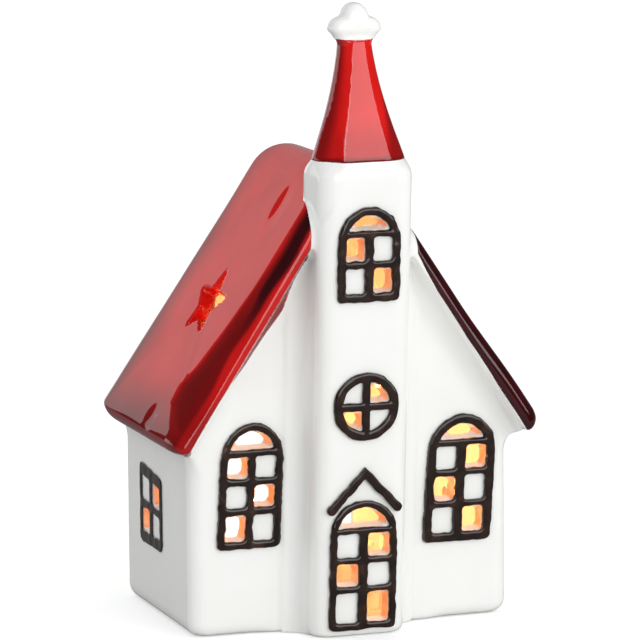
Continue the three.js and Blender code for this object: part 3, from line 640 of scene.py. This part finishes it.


# Painted shade and dark reflection on the red glaze, and a painted glow in the white clay

def roof_painted_shade(points):
    """Share of painted shade and dark reflection on the roof: dark along the verges, at the eaves and at the
    rear edge.
    """
    low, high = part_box("gable_roof")
    from_verge = points[:, 1] - low.y + waves(points, *VERGE_BAND_WAVE, seed=9)
    from_rear = high.y - points[:, 1] + waves(points, *REAR_SHADE_WAVE, seed=10)
    height = points[:, 2] + waves(points, *SHADE_HEIGHT_WAVE, seed=13)
    ahead = ahead_of_bend(points)
    bend = between(*BEND_SHADE, step(ahead, *BEND_REACH)) * step(ahead, *BEND_EDGE)
    verge_band = between(*VERGE_BAND_SHADE, step(height, *VERGE_BAND_HEIGHTS)) * fall(from_verge, *VERGE_BAND_REACH)
    right_verge_band = fall(from_verge, *RIGHT_VERGE_BAND_REACH)
    eave = EAVE_SHADE * fall(height, *EAVE_HEIGHTS)
    rear = REAR_SHADE * fall(from_rear, *REAR_REACH)
    verge = between(*VERGE_SHADE, step(height, *VERGE_HEIGHTS))
    thin = VERGE_THIN * fall(height, *VERGE_THIN_HEIGHTS)
    behind_verge = step(from_verge - thin, *VERGE_EDGE)
    left = between(verge, np.maximum.reduce([bend, verge_band, eave, rear]), behind_verge)
    right = np.maximum.reduce([right_verge_band, eave, rear])
    return between(left, right, step(points[:, 0], *OVER_RIDGE))


def spire_painted_shade(points):
    """Share of painted shade on the spire: dark on the left, low down on the right and at the foot"""
    low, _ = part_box("tower_spire")
    angle = np.degrees(np.arctan2(points[:, 0] - SPIRE_AXIS_X, TOWER_MIDDLE_Y - points[:, 1]))
    over_foot = points[:, 2] - low.z
    left = SPIRE_LEFT_SHADE * step(-angle, *SPIRE_LEFT_ANGLES)
    right = SPIRE_RIGHT_SHADE * step(angle - SPIRE_RIGHT_TWIST * over_foot / MM, *SPIRE_RIGHT_ANGLES)
    foot = SPIRE_FOOT_SHADE * fall(over_foot, *SPIRE_FOOT_HEIGHTS)
    low_down = SPIRE_LOW_SHADE * fall(over_foot, *SPIRE_LOW_HEIGHTS)
    return np.maximum.reduce([left, right, foot, low_down])


def facing_axis(node):
    """The axis that a frame looks along: x on the side walls, and y in front"""
    return 0 if "side" in node else 1


def candle_glow_jambs(points, normals):
    """1 on the upright edges of the open panes, where a glow is painted for the candle's light shining
    through the thin clay
    """
    candle_glow = np.zeros(len(points))
    for node in PANED_FRAMES:
        low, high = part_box(node)
        facing = facing_axis(node)
        along = 1 - facing
        if facing == 0:
            depth = min(abs(low.x), abs(high.x)) - points[:, 0] * np.sign(low.x + high.x)
        else:
            depth = points[:, 1] - high.y
        within = (points[:, along] > low[along]) & (points[:, along] < high[along])
        within &= (points[:, 2] > low.z) & (points[:, 2] < high.z)
        within &= (depth > JAMB_DEPTH[0]) & (depth < JAMB_DEPTH[1])
        within &= np.abs(normals[:, along]) > JAMB_FACING
        candle_glow[within] = 1
    return candle_glow


# Materials

class Material:
    """A node material with one Principled shader."""

    def __init__(self, name):
        self.material = bpy.data.materials.new(name)
        self.material.use_nodes = True
        self.tree = self.material.node_tree
        self.shader = self.tree.nodes["Principled BSDF"]

    def set(self, **values):
        for key, value in values.items():
            self.shader.inputs[key.replace("_", " ")].default_value = value

    def node(self, kind, **values):
        node = self.tree.nodes.new(kind)
        for key, value in values.items():
            setattr(node, key, value)
        return node

    def link(self, source, target):
        self.tree.links.new(source, target)

    def noise(self, scale, detail=2.0):
        coordinates = self.node("ShaderNodeTexCoord")
        noise = self.node("ShaderNodeTexNoise")
        noise.inputs["Scale"].default_value = scale
        noise.inputs["Detail"].default_value = detail
        self.link(coordinates.outputs["Object"], noise.inputs["Vector"])
        return noise.outputs["Fac"]

    def attribute(self, name):
        return self.node("ShaderNodeAttribute", attribute_name=name).outputs["Fac"]

    def ramp(self, factor, *stops):
        node = self.node("ShaderNodeValToRGB")
        elements = node.color_ramp.elements
        while len(elements) < len(stops):
            elements.new(0.5)
        for element, (position, colour) in zip(elements, stops):
            element.position = position
            element.color = (*colour, 1)
        self.link(factor, node.inputs["Fac"])
        return node.outputs["Color"]

    def mix(self, factor, first, second):
        node = self.node("ShaderNodeMix", data_type="RGBA")
        self.link(factor, node.inputs["Factor"])
        self.link(first, node.inputs["A"])
        self.link(second, node.inputs["B"])
        return node.outputs["Result"]

    def times(self, socket, number):
        node = self.node("ShaderNodeMath", operation="MULTIPLY")
        node.inputs[1].default_value = number
        self.link(socket, node.inputs[0])
        return node.outputs["Value"]

    def colour(self, socket):
        self.link(socket, self.shader.inputs["Base Color"])


def white_glaze():
    """White, with a painted orange glow standing for the candle's light shining through thin clay"""
    material = Material("white_glaze")
    material.set(Roughness=0.1, IOR=1.5, Emission_Color=(1, 0.3, 0.1, 1))
    white = material.ramp(
        material.noise(40),
        (0.3, (0.86, 0.86, 0.83)),
        (0.7, (0.89, 0.89, 0.865)),
    )
    glowing = material.ramp(
        material.noise(250),
        (0.35, (0.8, 0.26, 0.1)),
        (0.65, (0.9, 0.5, 0.28)),
    )
    # The pane edges get a painted orange colour and glow for the candle's light.
    candle_glow = material.attribute("candle_glow")
    material.colour(material.mix(candle_glow, white, glowing))
    material.link(material.times(candle_glow, GLOW_STRENGTH), material.shader.inputs["Emission Strength"])
    return material.material


def red_glaze():
    """Bright red, darkened to nearly black by the painted shade and dark reflection in the depth attribute"""
    material = Material("red_glaze")
    material.set(Roughness=0.03, IOR=1.6)
    thin = material.ramp(
        material.noise(60),
        (0.3, (0.6, 0.009, 0.008)),
        (0.7, (0.7, 0.013, 0.011)),
    )
    shaded_red = material.ramp(
        material.noise(90),
        (0.3, (0.02, 0.002, 0.003)),
        (0.7, (0.045, 0.003, 0.005)),
    )
    # The depth attribute mixes in painted shade and dark reflection.
    material.colour(material.mix(material.attribute("depth"), thin, shaded_red))
    return material.material


def brown_glaze():
    material = Material("brown_glaze")
    material.set(Roughness=0.14, IOR=1.55)
    material.colour(material.ramp(
        material.noise(220, 4),
        (0.35, (0.008, 0.004, 0.003)),
        (0.6, (0.024, 0.011, 0.007)),
        (0.75, (0.045, 0.022, 0.014)),
    ))
    return material.material


def aluminium():
    material = Material("aluminium")
    material.set(Roughness=0.32, Metallic=1.0)
    material.colour(material.ramp(
        material.noise(300),
        (0.3, (0.7, 0.71, 0.72)),
        (0.7, (0.82, 0.82, 0.83)),
    ))
    return material.material


def wax():
    material = Material("wax")
    material.set(Roughness=0.4, IOR=1.44, Subsurface_Weight=0.3, Subsurface_Radius=(0.004, 0.003, 0.002))
    material.colour(material.ramp(
        material.noise(120),
        (0.3, (0.86, 0.83, 0.74)),
        (0.7, (0.92, 0.89, 0.8)),
    ))
    return material.material


def wick_cotton():
    material = Material("wick_cotton")
    material.set(Roughness=0.95)
    material.colour(material.ramp(
        material.noise(900),
        (0.3, (0.02, 0.016, 0.012)),
        (0.7, (0.12, 0.1, 0.08)),
    ))
    return material.material


def tinned_steel():
    material = Material("tinned_steel")
    material.set(Roughness=0.38, Metallic=1.0)
    material.colour(material.ramp(
        material.noise(400),
        (0.3, (0.55, 0.56, 0.58)),
        (0.7, (0.68, 0.69, 0.7)),
    ))
    return material.material


# Pieces

def casting_skin():
    """The fused casting as an object, and the points of its nominal skin"""
    body = cad_copy("glazed_church", CASTING_NODES)
    remesh(body, CASTING_VOXEL)
    smooth(body, CASTING_PASSES)
    points = points_of(body)
    fuller_star = STAR_SWELL * step(points[:, 2], *STAR_SWELL_HEIGHTS)
    swell = waves(points, *CASTING_WAVE, seed=3) - SWELL + fuller_star
    points += normals_of(body) * swell[:, None]
    for reshape in (uneven_roof, round_roof_corners, shape_star, round_foot, in_cad_box):
        points = reshape(points)
    set_points(body, points)
    return body, points


def white_body(body, points, normals, finish):
    set_points(body, in_cad_box(points - normals * WHITE_INSET))
    shade_smooth(body)
    # Marks where the painted glow of the candle's light goes.
    set_attribute(body, "candle_glow", candle_glow_jambs(points, normals))
    body.data.materials.append(finish)
    place(body, "church", "white_glaze", *WHITE_NODES)


def red_layer(name, skin, field, painted_shade, finish, node):
    layer = glaze_shell(name, *skin, field)
    layer.data.materials.append(finish)
    # The depth attribute carries painted shade and dark reflection.
    set_attribute(layer, "depth", painted_shade(points_of(layer)))
    place(layer, "church", "red_glaze", node)


def casting(white, red):
    """One white body, and the red glaze on the roof and the spire as layers on it"""
    body, points = casting_skin()
    normals = normals_of(body)
    skin = (points, normals, faces_of(body))
    white_body(body, points, normals, white)
    red_layer("glazed_roof", skin, roof_field, roof_painted_shade, red, "gable_roof")
    red_layer("glazed_spire", skin, spire_field, spire_painted_shade, red, "tower_spire")


def flatten_side_frame(points, node):
    """Lowers the relief of a side window's frame on its wall."""
    low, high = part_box(node)
    wall = min(abs(low.x), abs(high.x))
    relief = np.maximum(np.abs(points[:, 0]) - wall, 0)
    points[:, 0] -= np.sign(points[:, 0]) * (1 - SIDE_RELIEF) * relief


def painted_frame(node, seed, finish):
    """Relief with the uneven edge of a brush"""
    piece = cad_copy("painted_" + node, [node])
    remesh(piece, FRAME_VOXEL)
    smooth(piece, FRAME_PASSES)
    points = points_of(piece)
    normals = normals_of(piece)
    if facing_axis(node) == 0:
        flatten_side_frame(points, node)
    if "rose" in node:
        points = round_rose(points)
    in_wall = normals.copy()
    in_wall[:, facing_axis(node)] = 0
    ragged = waves(points, *BRUSH_WAVE, seed) + waves(points, *FINE_BRUSH_WAVE, seed + 50)
    bumpy = waves(points, *BRUSH_BUMPS, seed + 100)
    points += in_wall * ragged[:, None] + normals * (bumpy - FRAME_INSET)[:, None]
    set_points(piece, in_cad_box(points))
    shade_smooth(piece)
    piece.data.materials.append(finish)
    place(piece, "church", "brown_glaze", node)


def dress_tealight():
    finishes = {
        "tealight_cup": aluminium(),
        "tealight_wax": wax(),
        "tealight_wick": wick_cotton(),
        "wick_sustainer": tinned_steel(),
    }
    for node, finish in finishes.items():
        mesh = frame["nodes"][node].data
        mesh.materials.clear()
        mesh.materials.append(finish)


# Studio

def make_camera():
    data = bpy.data.cameras.new("camera")
    data.sensor_width = SENSOR_WIDTH
    data.lens = LENS
    data.clip_start = 0.1
    data.clip_end = 20
    camera = new_object("camera", data)
    back = Vector((
        -math.sin(CAMERA_YAW) * math.cos(CAMERA_PITCH),
        -math.cos(CAMERA_YAW) * math.cos(CAMERA_PITCH),
        math.sin(CAMERA_PITCH),
    ))
    right = Vector((0, 0, 1)).cross(back).normalized()
    up = back.cross(right)
    rolled_right = right * math.cos(CAMERA_ROLL) + up * math.sin(CAMERA_ROLL)
    rolled_up = up * math.cos(CAMERA_ROLL) - right * math.sin(CAMERA_ROLL)
    turn = Matrix((rolled_right, rolled_up, back)).transposed().to_4x4()
    camera.matrix_world = Matrix.Translation(CAMERA_TARGET + back * CAMERA_DISTANCE) @ turn
    bpy.context.scene.camera = camera


def softbox(name, position, target, size, radiance):
    """Oblong lamp that looks at its target and has the given radiance all over"""
    width, height = size
    data = bpy.data.lights.new(name, "AREA")
    data.shape = "RECTANGLE"
    data.size = width
    data.size_y = height
    data.energy = radiance * width * height * math.pi
    light = new_object(name, data)
    away = Vector(position) - Vector(target)
    light.matrix_world = Matrix.Translation(position) @ away.to_track_quat("Z", "Y").to_matrix().to_4x4()
    light.visible_camera = False
    return light


def reflected_card(name, position, target, size, radiance):
    """A card that shows in reflections and lights nothing"""
    softbox(name, position, target, size, radiance).visible_diffuse = False


def lamp(name, position, size, radiance):
    """A lamp that lights the holder and shows in no reflection"""
    softbox(name, position, LAMP_TARGET, size, radiance).visible_glossy = False


def back_card():
    width, _ = CARD_STRIP_SIZE
    for number in range(CARD_STRIPS):
        x = CARD_LEFT + (number + 0.5) * width
        radiance = CARD_RADIANCE * (1 - CARD_FALL * number / CARD_STRIPS)
        reflected_card("back_card", (x, CARD_Y, CARD_Z), (x, 0, CARD_Z), CARD_STRIP_SIZE, radiance)


def candle_light():
    low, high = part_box("tealight_wick")
    data = bpy.data.lights.new("candle_light", "POINT")
    data.shadow_soft_size = FLAME_RADIUS
    data.energy = FLAME_WATTS
    data.color = FLAME_COLOUR
    light = new_object("candle_light", data)
    light.location = ((low.x + high.x) / 2, (low.y + high.y) / 2, high.z + FLAME_OVER_WICK)
    light.parent = frame["bodies"]["candle"]


def make_world():
    """White to the camera, dim to reflections, and a fill for everything else"""
    world = bpy.data.worlds.new("studio")
    bpy.context.scene.world = world
    world.use_nodes = True
    tree = world.node_tree
    tree.nodes.clear()
    output = tree.nodes.new("ShaderNodeOutputWorld")
    rays = tree.nodes.new("ShaderNodeLightPath")

    def background(colour, strength):
        node = tree.nodes.new("ShaderNodeBackground")
        node.inputs["Color"].default_value = (*colour, 1)
        node.inputs["Strength"].default_value = strength
        return node.outputs["Background"]

    def mix(factor, first, second):
        node = tree.nodes.new("ShaderNodeMixShader")
        tree.links.new(factor, node.inputs["Fac"])
        tree.links.new(first, node.inputs[1])
        tree.links.new(second, node.inputs[2])
        return node.outputs["Shader"]

    fill = background((0.98, 0.99, 1), WORLD_FILL)
    dim = background((1, 1, 1), WORLD_IN_REFLECTIONS)
    white = background((1, 1, 1), 1.0)
    shiny = mix(rays.outputs["Is Glossy Ray"], fill, dim)
    seen = mix(rays.outputs["Is Camera Ray"], shiny, white)
    tree.links.new(seen, output.inputs["Surface"])


def make_floor():
    """Pale, with a shadow, lifted to white for the camera and darker in reflections"""
    bpy.ops.mesh.primitive_plane_add(size=FLOOR_SIZE, location=(0, 0, 0))
    floor = bpy.context.object
    floor.name = "floor"
    material = bpy.data.materials.new("floor")
    material.use_nodes = True
    tree = material.node_tree
    tree.nodes.clear()
    output = tree.nodes.new("ShaderNodeOutputMaterial")
    rays = tree.nodes.new("ShaderNodeLightPath")

    def matte(grey):
        node = tree.nodes.new("ShaderNodeBsdfDiffuse")
        node.inputs["Color"].default_value = (grey, grey, grey, 1)
        return node.outputs["BSDF"]

    glow = tree.nodes.new("ShaderNodeEmission")
    share = tree.nodes.new("ShaderNodeMath")
    share.operation = "MULTIPLY"
    share.inputs[1].default_value = FLOOR_GLOW
    lifted = tree.nodes.new("ShaderNodeAddShader")
    shiny = tree.nodes.new("ShaderNodeMixShader")
    tree.links.new(rays.outputs["Is Camera Ray"], share.inputs[0])
    tree.links.new(share.outputs["Value"], glow.inputs["Strength"])
    tree.links.new(matte(FLOOR_GREY), lifted.inputs[0])
    tree.links.new(glow.outputs["Emission"], lifted.inputs[1])
    tree.links.new(rays.outputs["Is Glossy Ray"], shiny.inputs["Fac"])
    tree.links.new(lifted.outputs["Shader"], shiny.inputs[1])
    tree.links.new(matte(FLOOR_GREY_IN_REFLECTIONS), shiny.inputs[2])
    tree.links.new(shiny.outputs["Shader"], output.inputs["Surface"])
    floor.data.materials.append(material)


def make_studio():
    reflected_card("front_box", (0.3, -1.2, 0.7), (0.05, 0, 0.5), (2.2, 1.1), radiance=2.6)
    reflected_card("strip", (-0.62, -1.33, 0.57), LAMP_TARGET, (0.05, 0.5), radiance=3.0)
    reflected_card("low_card", (-0.05, 1.6, 0.15), (-0.05, 0, 0.15), (0.9, 0.3), radiance=0.6)
    reflected_card("left_card", (-1.15, 1.35, 0.2), (0, 0, 0.15), (1.0, 0.4), radiance=1.0)
    lamp("key", (0.8, -1.5, 0.5), (1.2, 1.2), radiance=1.45)
    lamp("front_fill", (0.3, -2.2, 0.3), (2.0, 1.2), radiance=2.0)
    lamp("left_fill", (-1.6, 0.2, 0.6), (1.0, 1.0), radiance=0.15)
    back_card()
    make_world()
    make_floor()
    candle_light()


make_camera()
casting(white_glaze(), red_glaze())
brown = brown_glaze()
for number, node in enumerate(FRAMES):
    painted_frame(node, FRAME_SEED + number, brown)
dress_tealight()
make_studio()

bpy.context.scene.view_settings.view_transform = "Standard"
